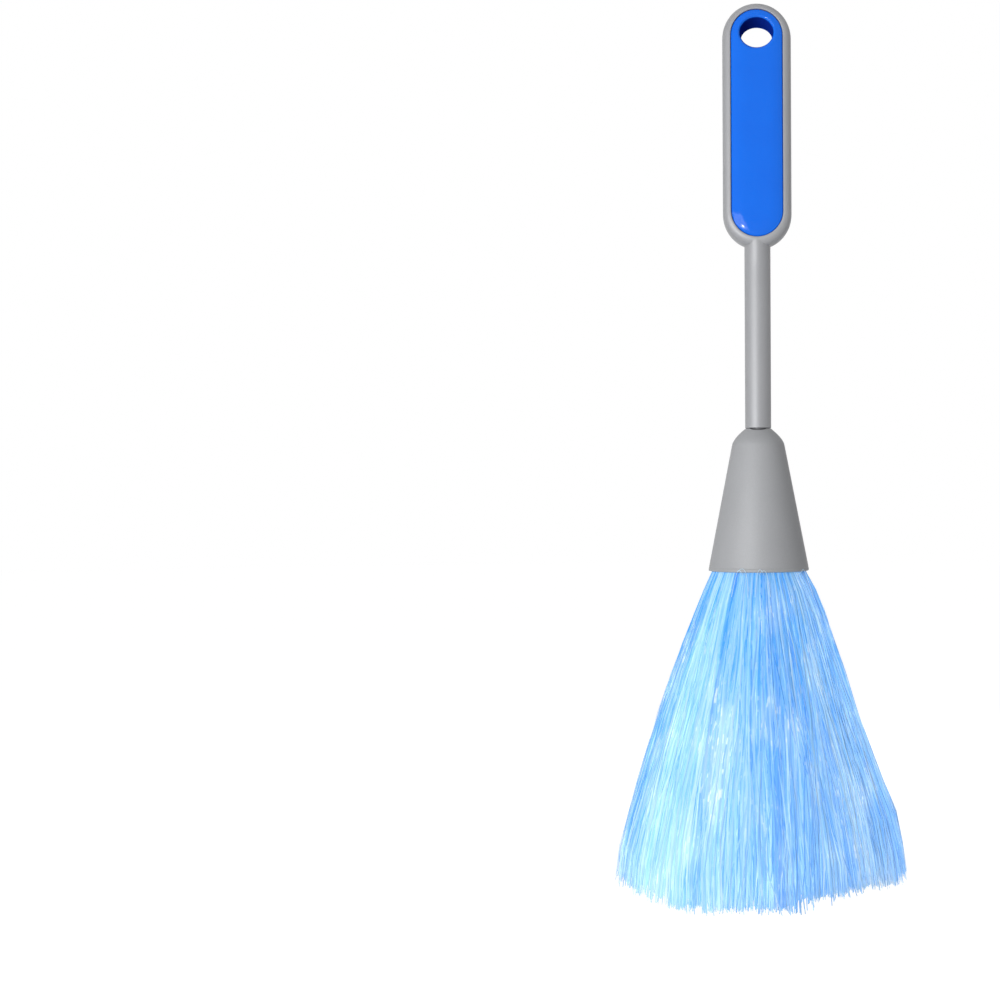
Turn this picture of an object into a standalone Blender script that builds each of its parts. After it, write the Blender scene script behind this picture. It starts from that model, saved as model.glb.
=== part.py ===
"""Synthetic feather duster, hanging from the hole in its grip.

Metres, +Z up. The origin is the centre of the hang hole, and the front faces -Y.
Pieces of the head are drawn from the shaft's lower end, which is their local zero.
"""
import math
import random

import bmesh
import bpy
from mathutils import Matrix, Vector

# Clearances and working distances
SEAT_GAP = 0.0003
CUT_OVERRUN = 0.003
MERGE_DISTANCE = 0.000001

# Grip frame: a ring with straight sides and round ends
RING_WIDTH = 0.0388
RING_LENGTH = 0.1363
RING_THICKNESS = 0.0172
RING_ABOVE_HOLE = 0.0180
BEAD_WIDTH = 0.0048
BEAD_CREST_INSET = 0.0034
BEAD_LIP_DROP = 0.0007
WEB_THICKNESS = 0.0024

# Hang hole and the sleeve round it
HANG_HOLE_RADIUS = 0.0085
SLEEVE_WALL = 0.0018

# Grip panels, snapped together through the web
PANEL_PROUD = 0.0008
PANEL_WALL = 0.0027
PANEL_SKIRT = 0.0016
PANEL_EDGE_ROUND = 0.0010
PIN_RADIUS = 0.0025
PIN_ABOVE_RING_END = 0.0258
PIN_COUNT = 3
PIN_ENGAGEMENT = 0.0040
SOCKET_WALL = 0.0018

# Shaft, hollow from its lower end
SHAFT_RADIUS = 0.00735
SHAFT_BELOW_RING = 0.1024
BORE_RADIUS = 0.00475
BORE_DEPTH = 0.0900

# Collar: a dome on a cone, open below
COLLAR_HEIGHT = 0.0800
COLLAR_RIM_RADIUS = 0.0285
COLLAR_SHOULDER_RADIUS = 0.0149
COLLAR_SHOULDER_DROP = 0.0095
DOME_CORNER_RADIUS = 0.0143
DOME_CORNER_DROP = 0.0056
COLLAR_WALL = 0.0016
COLLAR_TOP_WALL = 0.0030
RIM_ROUND = 0.0007
RELIEF_WIDTH = 0.0110
RELIEF_LENGTH = 0.0172
RELIEF_DEPTH = 0.0020

# Head core: stem, seat flange, spindle and stop flange
STEM_LENGTH = 0.0380
STEM_CHAMFER = 0.0012
SEAT_FLANGE_RADIUS = 0.0098
FLANGE_THICKNESS = 0.0022
SPINDLE_RADIUS = 0.0050
STOP_FLANGE_RADIUS = 0.0120

# Core screw
SCREW_SHANK_RADIUS = 0.0017
SCREW_HEAD_RADIUS = 0.0035
SCREW_HEAD_HEIGHT = 0.0022
SCREW_LENGTH = 0.0620
SCREW_POINT = 0.0030
RECESS_WIDTH = 0.0010
RECESS_SPAN = 0.0040
RECESS_DEPTH = 0.0012

# Fibre roots, fused together round the spindle
ROOT_HEIGHT = 0.0080
ROOT_DEPTH = 0.0440
LAYER_DEPTH = 0.0034
LAYER_ROWS = 2
LAYER_SPOKES = (14, 20, 42)
STRAND_SPACE = 0.00044

# Fan of fibre: its outer radius at the rim, at the knee and at the tips
FAN_RIM_CLEARANCE = 0.0004
FAN_KNEE_RADIUS = 0.0590
FAN_KNEE_DROP = 0.0800
FAN_TIP_RADIUS = 0.0841
FAN_TIP_DROP = 0.1715
TIP_UNEVENNESS = 0.0030
SPREAD_POWER = 0.63
STRAND_THIN_SHARES = (0.90, 0.76, 0.60)
LOOSENESS_SHARE = 2.0

# Binding wire
WIRE_RADIUS = 0.0006
WIRE_PITCH = 0.0019
WIRE_TURNS = 3
WIRE_POINTS_PER_TURN = 24
WIRE_BEVEL_STEPS = 1

# Facets
END_STEPS = 15
BEAD_STEPS = 5
DOME_STEPS = 5
ROUND_STEPS = 40
COLLAR_STEPS = 48
SMALL_ROUND_STEPS = 20
EDGE_ROUND_STEPS = 2
SHARP_ANGLE = math.radians(35)

# Places that follow from the sizes, those of the head from the shaft's lower end
ring_half_width = RING_WIDTH / 2
ring_half_thickness = RING_THICKNESS / 2
ring_bottom = RING_ABOVE_HOLE - RING_LENGTH
panel_inset = BEAD_WIDTH + SEAT_GAP
panel_face = ring_half_thickness + PANEL_PROUD
panel_inner_face = panel_face - PANEL_WALL
panel_back = WEB_THICKNESS / 2 + SEAT_GAP
sleeve_radius = HANG_HOLE_RADIUS + SLEEVE_WALL
socket_radius = PIN_RADIUS + SEAT_GAP + SOCKET_WALL
first_pin = -(sleeve_radius + socket_radius + PANEL_SKIRT)
last_pin = ring_bottom + PIN_ABOVE_RING_END
shaft_end = ring_bottom - SHAFT_BELOW_RING
collar_top = -SEAT_GAP
collar_rim = collar_top - COLLAR_HEIGHT
stem_radius = BORE_RADIUS - SEAT_GAP
seat_flange_top = collar_top - COLLAR_TOP_WALL - SEAT_GAP
root_bottom = -ROOT_DEPTH
root_top = root_bottom + ROOT_HEIGHT
stop_flange_bottom = root_top + SEAT_GAP
root_inner = SPINDLE_RADIUS + SEAT_GAP
root_outer = root_inner + len(LAYER_SPOKES) * LAYER_DEPTH + (len(LAYER_SPOKES) - 1) * SEAT_GAP
screw_hole_radius = SCREW_SHANK_RADIUS + SEAT_GAP
screw_seat = root_bottom + SEAT_GAP + SCREW_HEAD_HEIGHT + SEAT_GAP
wire_coil_radius = root_outer + SEAT_GAP + WIRE_RADIUS
fan_rim_radius = COLLAR_RIM_RADIUS - COLLAR_WALL - FAN_RIM_CLEARANCE


def clear_scene():
    for old in list(bpy.data.objects):
        bpy.data.objects.remove(old, do_unlink=True)


def new_collection(name):
    made = bpy.data.collections.new(name)
    bpy.context.scene.collection.children.link(made)
    return made


def plastic(name, colour, roughness, metallic=0.0):
    material = bpy.data.materials.new(name)
    material.use_nodes = True
    shader = material.node_tree.nodes["Principled BSDF"]
    shader.inputs["Base Color"].default_value = (*colour, 1.0)
    shader.inputs["Roughness"].default_value = roughness
    shader.inputs["Metallic"].default_value = metallic
    material.diffuse_color = (*colour, 1.0)
    return material


def put_in(obj, collection):
    for held in list(obj.users_collection):
        held.objects.unlink(obj)
    collection.objects.link(obj)


def object_from(bm, name, collection):
    """Ends a bmesh as a named object in a collection."""
    mesh = bpy.data.meshes.new(name)
    bm.to_mesh(mesh)
    bm.free()
    obj = bpy.data.objects.new(name, mesh)
    collection.objects.link(obj)
    return obj


def as_mesh(obj, name, collection):
    """The evaluated shape of an object as a plain mesh object in its place, caps welded."""
    bpy.context.view_layer.update()
    shown = obj.evaluated_get(bpy.context.evaluated_depsgraph_get())
    mesh = bpy.data.meshes.new_from_object(shown)
    bm = bmesh.new()
    bm.from_mesh(mesh)
    bmesh.ops.remove_doubles(bm, verts=bm.verts, dist=MERGE_DISTANCE)
    bm.to_mesh(mesh)
    bm.free()
    mesh.name = name
    place = obj.matrix_world.copy()
    bpy.data.objects.remove(obj, do_unlink=True)
    made = bpy.data.objects.new(name, mesh)
    made.matrix_world = place
    collection.objects.link(made)
    return made


def combine(base, other, operation):
    """Joins another solid to the base, or cuts it away, by a Boolean that stays on the base."""
    put_in(other, cutters)
    other.hide_render = True
    other.display_type = "WIRE"
    step = base.modifiers.new(other.name, "BOOLEAN")
    step.operation = operation
    step.solver = "EXACT"
    step.object = other


def join(base, *others):
    for other in others:
        combine(base, other, "UNION")


def cut(base, *others):
    for other in others:
        combine(base, other, "DIFFERENCE")


def stadium(half_width, top, bottom, steps=END_STEPS):
    """Points of an outline with straight sides and round ends, as (across, along)."""
    points = []
    for centre, start in ((top - half_width, 0.0), (bottom + half_width, math.pi)):
        for i in range(steps + 1):
            angle = start + math.pi * i / steps
            points.append((half_width * math.cos(angle), centre + half_width * math.sin(angle)))
    return points


def grip_outline(inset):
    """The grip's outline, drawn in by the same distance all round."""
    return stadium(ring_half_width - inset, RING_ABOVE_HOLE - inset, ring_bottom + inset)


def plate(name, outline, low, high, upright, collection):
    """A flat outline as thick as low to high: along Y if upright, or else along Z."""
    curve = bpy.data.curves.new(name, "CURVE")
    curve.dimensions = "2D"
    curve.fill_mode = "BOTH"
    curve.extrude = (high - low) / 2
    spline = curve.splines.new("POLY")
    spline.points.add(len(outline) - 1)
    for point, (across, along) in zip(spline.points, outline):
        point.co = (across, along, 0.0, 1.0)
    spline.use_cyclic_u = True
    obj = bpy.data.objects.new(name + "_outline", curve)
    collection.objects.link(obj)
    middle = (low + high) / 2
    if upright:
        obj.location = (0.0, middle, 0.0)
        obj.rotation_euler = (math.pi / 2, 0.0, 0.0)
    else:
        obj.location = (0.0, 0.0, middle)
    return as_mesh(obj, name, collection)


def bar(name, radius, low, high, axis, centre, collection, steps=ROUND_STEPS):
    """A round bar from low to high along Y or Z, its centre line through the given point."""
    middle = Vector(centre)
    middle["XYZ".index(axis)] = (low + high) / 2
    turn = (math.pi / 2, 0.0, 0.0) if axis == "Y" else (0.0, 0.0, 0.0)
    bpy.ops.mesh.primitive_cylinder_add(
        vertices=steps, radius=radius, depth=high - low, location=middle, rotation=turn
    )
    obj = bpy.context.object
    obj.name = name
    put_in(obj, collection)
    return obj


def turned(name, profile, closed, steps, collection):
    """A profile of (radius, height), outer side downwards, turned round Z."""
    bm = bmesh.new()
    points = [bm.verts.new((radius, 0.0, height)) for radius, height in profile]
    ends = zip(points, points[1:] + points[:1] if closed else points[1:])
    for start, end in ends:
        bm.edges.new((start, end))
    obj = object_from(bm, name, collection)
    screw = obj.modifiers.new("turn", "SCREW")
    screw.axis = "Z"
    screw.angle = 2 * math.pi
    screw.steps = steps
    screw.render_steps = steps
    screw.use_merge_vertices = True
    screw.merge_threshold = MERGE_DISTANCE
    return obj


def bend(start, corner, end, steps):
    """Points of a smooth bend between two places, drawn towards the corner."""
    points = []
    for i in range(steps + 1):
        t = i / steps
        weights = ((1 - t) ** 2, 2 * t * (1 - t), t ** 2)
        points.append(tuple(
            sum(w * p[k] for w, p in zip(weights, (start, corner, end))) for k in range(2)
        ))
    return points


def finish_piece(obj, material, place=0.0):
    """Shades a piece, gives it its material and hangs it under the duster's empty."""
    obj.location.z += place
    obj.data.materials.clear()
    obj.data.materials.append(material)
    obj.parent = whole
    obj.data.shade_smooth()
    if obj.type == "MESH":
        obj.data.set_sharp_from_angle(angle=SHARP_ANGLE)


def round_face_edges(obj, face_place, radius):
    """Rounds the edges where the sides meet the flat face at this Y."""
    bm = bmesh.new()
    bm.from_mesh(obj.data)
    bm.transform(obj.matrix_world)
    on_face = [abs(v.co.y - face_place) < MERGE_DISTANCE for v in bm.verts]
    edges = [
        edge for edge in bm.edges
        if all(on_face[v.index] for v in edge.verts)
        and edge.calc_face_angle(0.0) > SHARP_ANGLE
    ]
    bmesh.ops.bevel(
        bm, geom=edges, offset=radius, segments=EDGE_ROUND_STEPS, profile=0.5,
        affect="EDGES", clamp_overlap=True,
    )
    obj.matrix_world = Matrix.Identity(4)
    bm.to_mesh(obj.data)
    bm.free()


def bead_section():
    """The ring's section as (inset from the outline, depth): rounded outside, flat inside."""
    points = []
    for i in range(2 * BEAD_STEPS + 1):
        angle = math.pi * (i / (2 * BEAD_STEPS) - 0.5)
        inset = BEAD_CREST_INSET * (1 - math.cos(angle))
        points.append((inset, ring_half_thickness * math.sin(angle)))
    lip = ring_half_thickness - BEAD_LIP_DROP
    return points + [(BEAD_WIDTH, lip), (BEAD_WIDTH, -lip)]


def make_ring(name):
    """The ring alone: its outline repeated at each point of the bead's section."""
    bm = bmesh.new()
    loops = []
    for inset, depth in bead_section():
        loops.append([bm.verts.new((x, depth, z)) for x, z in grip_outline(inset)])
    for this, following in zip(loops, loops[1:] + loops[:1]):
        for i, vert in enumerate(this):
            j = (i + 1) % len(this)
            bm.faces.new((vert, this[j], following[j], following[i]))
    bmesh.ops.recalc_face_normals(bm, faces=bm.faces)
    return object_from(bm, name, parts)


def pin_places():
    """Heights of the pins, evenly spread from the hang hole's sleeve to the ring's lower end."""
    spacing = (last_pin - first_pin) / (PIN_COUNT - 1)
    return [first_pin + i * spacing for i in range(PIN_COUNT)]


def make_handle_frame():
    """Ring, web and hollow shaft in one moulding."""
    frame = make_ring("handle_frame")
    half_web = WEB_THICKNESS / 2
    web = plate("web", grip_outline(BEAD_WIDTH / 2), -half_web, half_web, True, parts)
    shaft_top = ring_bottom + BEAD_CREST_INSET
    shaft = bar("shaft", SHAFT_RADIUS, shaft_end, shaft_top, "Z", (0, 0, 0), parts)
    join(frame, web, shaft)
    through = half_web + CUT_OVERRUN
    for i, z in enumerate(pin_places()):
        hole = bar(f"pin_hole_{i}", PIN_RADIUS + SEAT_GAP, -through, through, "Y", (0, 0, z),
                   parts, SMALL_ROUND_STEPS)
        cut(frame, hole)
    sleeve_hole = bar("sleeve_hole", sleeve_radius + SEAT_GAP, -through, through, "Y",
                      (0, 0, 0), parts)
    bore = bar("shaft_bore", BORE_RADIUS, shaft_end - CUT_OVERRUN, shaft_end + BORE_DEPTH, "Z",
               (0, 0, 0), parts, SMALL_ROUND_STEPS)
    cut(frame, sleeve_hole, bore)
    finish_piece(frame, grey)


def make_panel(name, side):
    """A grip panel as a shallow cap, on the front (side -1) or the rear (side 1)."""
    near, far = sorted((side * panel_face, side * panel_back))
    panel = plate(name, grip_outline(panel_inset), near, far, True, parts)
    near, far = sorted((side * panel_inner_face, side * (panel_back - CUT_OVERRUN)))
    hollow = plate(name + "_hollow", grip_outline(panel_inset + PANEL_SKIRT), near, far, True, parts)
    cut(panel, hollow)
    rooted = side * (panel_inner_face + PANEL_WALL / 2)
    if side < 0:
        meeting = panel_inner_face - SEAT_GAP
        sleeve = bar(name + "_sleeve", sleeve_radius, rooted, meeting, "Y", (0, 0, 0), parts)
        join(panel, sleeve)
        pin_end = WEB_THICKNESS / 2 + SEAT_GAP + PIN_ENGAGEMENT
        for i, z in enumerate(pin_places()):
            join(panel, bar(f"{name}_pin_{i}", PIN_RADIUS, rooted, pin_end, "Y", (0, 0, z),
                            parts, SMALL_ROUND_STEPS))
    else:
        for i, z in enumerate(pin_places()):
            join(panel, bar(f"{name}_socket_{i}", socket_radius, panel_back, rooted, "Y",
                            (0, 0, z), parts, SMALL_ROUND_STEPS))
            cut(panel, bar(f"{name}_socket_bore_{i}", PIN_RADIUS + SEAT_GAP,
                           panel_back - CUT_OVERRUN, panel_inner_face, "Y", (0, 0, z),
                           parts, SMALL_ROUND_STEPS))
    reach = panel_face + CUT_OVERRUN
    cut(panel, bar(name + "_hang_hole", HANG_HOLE_RADIUS, -reach, reach, "Y", (0, 0, 0), parts))
    panel = as_mesh(panel, name, parts)
    round_face_edges(panel, side * panel_face, PANEL_EDGE_ROUND)
    finish_piece(panel, blue)


def make_collar():
    """Dome and cone in one thin moulding, with a relief round the shaft's seat."""
    ceiling = collar_top - COLLAR_TOP_WALL
    shoulder = collar_top - COLLAR_SHOULDER_DROP
    corner = collar_top - DOME_CORNER_DROP
    outside = [(BORE_RADIUS, collar_top)]
    outside += bend((SHAFT_RADIUS, collar_top), (DOME_CORNER_RADIUS, corner),
                    (COLLAR_SHOULDER_RADIUS, shoulder), DOME_STEPS)
    outside += bend((COLLAR_RIM_RADIUS, collar_rim + RIM_ROUND), (COLLAR_RIM_RADIUS, collar_rim),
                    (COLLAR_RIM_RADIUS - RIM_ROUND, collar_rim), EDGE_ROUND_STEPS)
    inside = [(COLLAR_RIM_RADIUS - COLLAR_WALL, collar_rim)]
    inside += bend((COLLAR_SHOULDER_RADIUS - COLLAR_WALL, shoulder),
                   (DOME_CORNER_RADIUS - COLLAR_WALL, ceiling - COLLAR_WALL),
                   (SEAT_FLANGE_RADIUS + SEAT_GAP, ceiling), DOME_STEPS)
    inside += [(BORE_RADIUS, ceiling)]
    collar = turned("collar", outside + inside, True, COLLAR_STEPS, parts)
    half_length = RELIEF_LENGTH / 2
    relief = plate("seat_relief", stadium(RELIEF_WIDTH / 2, half_length, -half_length),
                   collar_top - RELIEF_DEPTH, collar_top + CUT_OVERRUN, False, parts)
    cut(collar, relief)
    finish_piece(collar, grey, shaft_end)
    relief.location.z += shaft_end


def make_head_core():
    """Spindle whose stem fills the shaft's bore and whose flanges hold the collar and the roots."""
    stop_flange_top = stop_flange_bottom + FLANGE_THICKNESS
    seat_flange_bottom = seat_flange_top - FLANGE_THICKNESS
    spindle_end = root_bottom + SEAT_GAP
    profile = [
        (0.0, STEM_LENGTH),
        (stem_radius - STEM_CHAMFER, STEM_LENGTH),
        (stem_radius, STEM_LENGTH - STEM_CHAMFER),
        (stem_radius, seat_flange_top),
        (SEAT_FLANGE_RADIUS, seat_flange_top),
        (SEAT_FLANGE_RADIUS, seat_flange_bottom),
        (SPINDLE_RADIUS, seat_flange_bottom),
        (SPINDLE_RADIUS, stop_flange_top),
        (STOP_FLANGE_RADIUS, stop_flange_top),
        (STOP_FLANGE_RADIUS, stop_flange_bottom),
        (SPINDLE_RADIUS, stop_flange_bottom),
        (SPINDLE_RADIUS, spindle_end),
        (0.0, spindle_end),
    ]
    core = turned("head_core", profile, False, ROUND_STEPS, parts)
    hole_top = screw_seat + SCREW_LENGTH + SEAT_GAP
    hole = bar("screw_hole", screw_hole_radius, spindle_end - CUT_OVERRUN, hole_top, "Z",
               (0, 0, 0), parts, SMALL_ROUND_STEPS)
    counterbore = bar("screw_counterbore", SCREW_HEAD_RADIUS + SEAT_GAP,
                      spindle_end - CUT_OVERRUN, screw_seat, "Z", (0, 0, 0), parts,
                      SMALL_ROUND_STEPS)
    cut(core, hole, counterbore)
    finish_piece(core, dark_plastic, shaft_end)
    for cutter in (hole, counterbore):
        cutter.location.z += shaft_end


def make_core_screw():
    """Pan-head screw, head down, with a cross recess."""
    under_head = screw_seat - SEAT_GAP
    head_end = under_head - SCREW_HEAD_HEIGHT
    tip = under_head + SCREW_LENGTH
    profile = [
        (0.0, tip),
        (SCREW_SHANK_RADIUS, tip - SCREW_POINT),
        (SCREW_SHANK_RADIUS, under_head),
        (SCREW_HEAD_RADIUS, under_head),
    ]
    profile += bend((SCREW_HEAD_RADIUS, under_head - SCREW_HEAD_HEIGHT / 2),
                    (SCREW_HEAD_RADIUS, head_end),
                    (SCREW_HEAD_RADIUS / 2, head_end), EDGE_ROUND_STEPS)
    profile += [(0.0, head_end)]
    screw = turned("core_screw", profile, False, SMALL_ROUND_STEPS, parts)
    depth = RECESS_DEPTH + CUT_OVERRUN
    middle = head_end + RECESS_DEPTH - depth / 2
    for name, size in (("recess_across", (RECESS_SPAN, RECESS_WIDTH, depth)),
                       ("recess_along", (RECESS_WIDTH, RECESS_SPAN, depth))):
        bm = bmesh.new()
        bmesh.ops.create_cube(bm, size=1.0)
        bmesh.ops.scale(bm, vec=size, verts=bm.verts)
        slot = object_from(bm, name, parts)
        slot.location.z = middle
        cut(screw, slot)
        slot.location.z += shaft_end
    finish_piece(screw, steel, shaft_end)


def spread_share(radius):
    """How far out in the fan a strand lies, from its place in the roots."""
    return ((radius - root_inner) / (root_outer - root_inner)) ** SPREAD_POWER


def fanned(root, fan_radius, height):
    """Where a point of the roots lies in the fan where that is this wide."""
    flat = Vector((root.x, root.y, 0.0))
    out = flat.normalized() * fan_radius * spread_share(flat.length)
    out.z = height
    return out


def make_fibre_layer(name, inner, spokes, seed):
    """One layer of fibre: a fused ring of roots, each facet of which is drawn out as a strand."""
    uneven = random.Random(seed)
    bm = bmesh.new()
    root = bm.verts.layers.float_vector.new("root")
    line = []
    for i in range(LAYER_ROWS + 1):
        radius = inner + LAYER_DEPTH * i / LAYER_ROWS
        lean = math.pi * i / spokes
        line.append(bm.verts.new((radius * math.cos(lean), radius * math.sin(lean), root_bottom)))
    edges = [bm.edges.new(pair) for pair in zip(line, line[1:])]
    bmesh.ops.spin(bm, geom=line + edges, axis=(0, 0, 1), cent=(0, 0, 0), dvec=(0, 0, 0),
                   angle=2 * math.pi, steps=spokes)
    bmesh.ops.remove_doubles(bm, verts=bm.verts, dist=MERGE_DISTANCE)
    raised = bmesh.ops.extrude_face_region(bm, geom=list(bm.faces))
    bmesh.ops.translate(bm, vec=(0, 0, ROOT_HEIGHT),
                        verts=[v for v in raised["geom"] if isinstance(v, bmesh.types.BMVert)])
    bmesh.ops.recalc_face_normals(bm, faces=bm.faces)
    below = [f for f in bm.faces if f.calc_center_median().z < root_bottom + MERGE_DISTANCE]
    strands = bmesh.ops.triangulate(bm, faces=below, quad_method="SHORT_EDGE")["faces"]
    bmesh.ops.inset_individual(bm, faces=strands, thickness=STRAND_SPACE / 2, use_even_offset=True)
    for vert in {v for f in strands for v in f.verts}:
        vert[root] = vert.co
    levels = (
        (fan_rim_radius, collar_rim, 0.0),
        (FAN_KNEE_RADIUS, collar_rim - FAN_KNEE_DROP, 0.0),
        (FAN_TIP_RADIUS, collar_rim - FAN_TIP_DROP, TIP_UNEVENNESS),
    )
    for (fan_radius, height, unevenness), thin_share in zip(levels, STRAND_THIN_SHARES):
        strands = bmesh.ops.extrude_discrete_faces(bm, faces=strands)["faces"]
        for face in strands:
            level = height + unevenness * uneven.uniform(-1.0, 1.0)
            spots = [fanned(v[root], fan_radius, level) for v in face.verts]
            pulls = [1.0 + uneven.uniform(0.0, LOOSENESS_SHARE) for _ in spots]
            heart = sum((pull * spot for pull, spot in zip(pulls, spots)), Vector()) / sum(pulls)
            for vert, spot in zip(face.verts, spots):
                vert.co = heart + (spot - heart) * thin_share
    bmesh.ops.recalc_face_normals(bm, faces=bm.faces)
    layer = object_from(bm, name, parts)
    finish_piece(layer, fibre, shaft_end)
    return 2 * LAYER_ROWS * spokes


def make_fibre_layers():
    count = 0
    inner = root_inner
    names = ("inner_fibre_layer", "middle_fibre_layer", "outer_fibre_layer")
    for seed, (name, spokes) in enumerate(zip(names, LAYER_SPOKES)):
        count += make_fibre_layer(name, inner, spokes, seed)
        inner += LAYER_DEPTH + SEAT_GAP
    print("strands in the fan:", count)


def make_binding_wire():
    """Steel wire wound round the roots of the outer layer."""
    steps = WIRE_TURNS * WIRE_POINTS_PER_TURN
    middle = (root_top + root_bottom) / 2
    points = []
    for i in range(steps + 1):
        turn = i / WIRE_POINTS_PER_TURN
        angle = 2 * math.pi * turn
        points.append(Vector((
            wire_coil_radius * math.cos(angle),
            wire_coil_radius * math.sin(angle),
            middle + WIRE_PITCH * (turn - WIRE_TURNS / 2),
        )))
    apart = WIRE_POINTS_PER_TURN // 2
    least = min((a - b).length for i, a in enumerate(points) for b in points[i + apart:])
    print("least gap of the wire to itself, mm:", round((least - 2 * WIRE_RADIUS) * 1000, 3))
    curve = bpy.data.curves.new("binding_wire", "CURVE")
    curve.dimensions = "3D"
    curve.fill_mode = "FULL"
    curve.bevel_depth = WIRE_RADIUS
    curve.bevel_resolution = WIRE_BEVEL_STEPS
    curve.use_fill_caps = True
    spline = curve.splines.new("POLY")
    spline.points.add(len(points) - 1)
    for place, point in zip(spline.points, points):
        place.co = (*point, 1.0)
    wire = bpy.data.objects.new("binding_wire", curve)
    parts.objects.link(wire)
    finish_piece(as_mesh(wire, "binding_wire", parts), steel, shaft_end)


clear_scene()
parts = new_collection("synthetic_feather_duster")
cutters = new_collection("cutters")
whole = bpy.data.objects.new("duster", None)
parts.objects.link(whole)

grey = plastic("silver_grey_plastic", (0.38, 0.39, 0.41), 0.38)
blue = plastic("blue_gloss_plastic", (0.012, 0.16, 0.83), 0.22)
dark_plastic = plastic("core_plastic", (0.20, 0.20, 0.21), 0.50)
steel = plastic("zinc_plated_steel", (0.62, 0.63, 0.64), 0.30, 1.0)
fibre = plastic("pale_blue_fibre", (0.30, 0.62, 0.95), 0.35)

make_handle_frame()
make_panel("front_grip_panel", -1)
make_panel("rear_grip_panel", 1)
make_collar()
make_head_core()
make_core_screw()
make_fibre_layers()
make_binding_wire()
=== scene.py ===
import math

import bmesh
import bpy
import numpy as np
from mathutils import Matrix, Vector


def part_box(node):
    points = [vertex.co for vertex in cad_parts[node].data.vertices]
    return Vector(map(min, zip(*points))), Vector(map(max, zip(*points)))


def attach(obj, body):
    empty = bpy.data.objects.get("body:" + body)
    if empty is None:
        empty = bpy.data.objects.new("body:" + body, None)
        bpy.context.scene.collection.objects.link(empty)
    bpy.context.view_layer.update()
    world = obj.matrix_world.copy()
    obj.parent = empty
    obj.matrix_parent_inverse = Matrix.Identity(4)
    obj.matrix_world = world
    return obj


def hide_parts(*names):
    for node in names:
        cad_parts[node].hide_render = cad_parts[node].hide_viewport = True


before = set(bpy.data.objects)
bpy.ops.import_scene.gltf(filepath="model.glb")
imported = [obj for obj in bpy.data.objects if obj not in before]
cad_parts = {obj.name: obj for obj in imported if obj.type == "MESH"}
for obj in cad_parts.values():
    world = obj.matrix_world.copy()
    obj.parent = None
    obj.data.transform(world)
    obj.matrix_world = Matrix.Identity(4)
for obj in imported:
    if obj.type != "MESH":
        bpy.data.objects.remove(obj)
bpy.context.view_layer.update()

# Camera: level with the collar, square to the grip's face, with the duster right of the middle.
camera = bpy.data.objects.new("camera", bpy.data.cameras.new("camera"))
camera.location = (0.0, -0.875, -0.2612)
camera.rotation_euler = (math.radians(90), math.radians(0.25), 0.0)
camera.data.sensor_width = 36.0
camera.data.lens = 55.764
camera.data.shift_x = -0.2585
scene = bpy.context.scene
scene.collection.objects.link(camera)
scene.camera = camera


# Grip frame and shaft: one injection moulding in silver-grey polypropylene with a satin skin.
# A ring with a rounded bead holds the two grip panels and runs on without a seam as the hollow
# shaft, whose flat lower end stands on the collar.
frame_low, frame_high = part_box("handle_frame")
ring_half_width = frame_high.x
ring_half_thickness = frame_high.y
ring_top = frame_high.z
ring_length = 0.1363
ring_bottom = ring_top - ring_length
shaft_end = frame_low.z
seat_gap = 0.0003
bead_width, bead_side_depth, bead_lip_drop = 0.0048, 0.0055, 0.0009
bead_crown_inset, bead_crest_inset = 0.0025, 0.0044
bead_shoulder = (0.0012, -0.0070)
top_rise, bottom_reach = 0.0006, 0.0011
web_half_thickness = 0.0012
shaft_radius, bore_radius, bore_depth = 0.00735, 0.00475, 0.0900
shaft_chamfer = 0.0002
flare_height, flare_steps, flare_shortfall = 0.0130, 9, 0.003
shaft_flare = ring_half_thickness / shaft_radius - (1 + flare_shortfall)
sleeve_radius = 0.0105
pin_radius = 0.0025
pin_heights = [-0.0165, -0.0545, -0.0925]
web_cut_reach, cut_overrun = 0.004, 0.003
sharp_angle = math.radians(32)


def grip_loop(inset, y, steps=40):
    """One loop of the grip's outline, with straight sides and round ends, drawn in by an inset.
    The bead is a little thinner at the top and wider at the bottom."""
    half = ring_half_width - inset
    across = min(inset / bead_width, 1.0)
    upper = ring_top - ring_half_width + top_rise * across
    lower = ring_bottom + ring_half_width - bottom_reach * (1 - across)
    loop = []
    for centre, start in ((upper, 0.0), (lower, math.pi)):
        for i in range(steps + 1):
            turn = start + math.pi * i / steps
            loop.append((half * math.cos(turn), y, centre + half * math.sin(turn)))
    return loop


def circle(radius, place, axis="Z", centre=0.0, steps=96):
    """One round loop: across Z at this height, or across Y at this depth and centre height."""
    loop = []
    for i in range(steps):
        turn = 2 * math.pi * i / steps
        x, other = radius * math.cos(turn), radius * math.sin(turn)
        loop.append((x, other, place) if axis == "Z" else (x, place, centre + other))
    return loop


def rounding(start, corner, end, steps=8):
    """Points of a smooth bend from start to end, drawn towards the corner."""
    points = []
    for i in range(steps + 1):
        t = i / steps
        points.append(tuple((1 - t) ** 2 * a + 2 * t * (1 - t) * b + t * t * c
                            for a, b, c in zip(start, corner, end)))
    return points


def skin(name, loops, hollow=False):
    """A closed skin over a row of loops: a solid with end caps, or a shell that meets itself."""
    bm = bmesh.new()
    rows = [[bm.verts.new(point) for point in loop] for loop in loops]
    for this, following in zip(rows, rows[1:] + rows[:1] if hollow else rows[1:]):
        for i, vert in enumerate(this):
            j = (i + 1) % len(this)
            bm.faces.new((vert, this[j], following[j], following[i]))
    if not hollow:
        bm.faces.new(rows[0])
        bm.faces.new(rows[-1])
    bmesh.ops.recalc_face_normals(bm, faces=bm.faces)
    mesh = bpy.data.meshes.new(name)
    bm.to_mesh(mesh)
    bm.free()
    made = bpy.data.objects.new(name, mesh)
    scene.collection.objects.link(made)
    return made


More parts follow.
